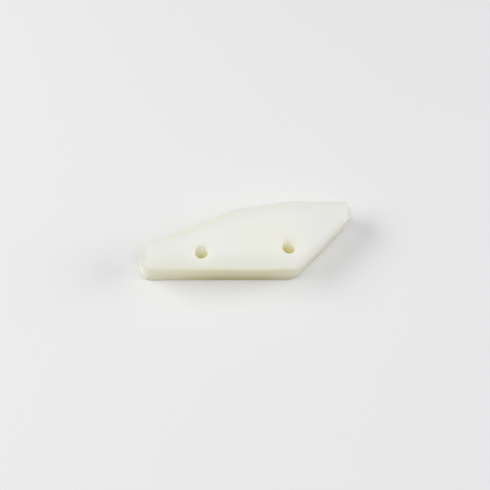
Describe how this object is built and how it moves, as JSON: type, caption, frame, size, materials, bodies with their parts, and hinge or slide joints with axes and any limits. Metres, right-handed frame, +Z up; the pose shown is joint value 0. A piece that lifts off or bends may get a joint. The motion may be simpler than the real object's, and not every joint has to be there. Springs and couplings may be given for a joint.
{
  "type": "motorcycle chain guide",
  "caption": "Flat block of natural nylon that keeps a motorcycle's drive chain in line, with a tapered nose, a slanted heel, rounded edges and plain through holes for its bolts.",
  "frame": {"origin": "middle of the bounding box on the underside, which lies on the ground", "axes": "+X along the straight rubbing edge from the nose to the tail, +Y from the rubbing edge back across the plate, +Z up through the thickness"},
  "size_m": [0.105, 0.0374, 0.015],
  "materials": {
    "natural_nylon": "satin, slightly translucent ivory"
  },
  "bodies": {
    "root": {"chain_guide_plate": "natural_nylon"}
  },
  "joints": []
}
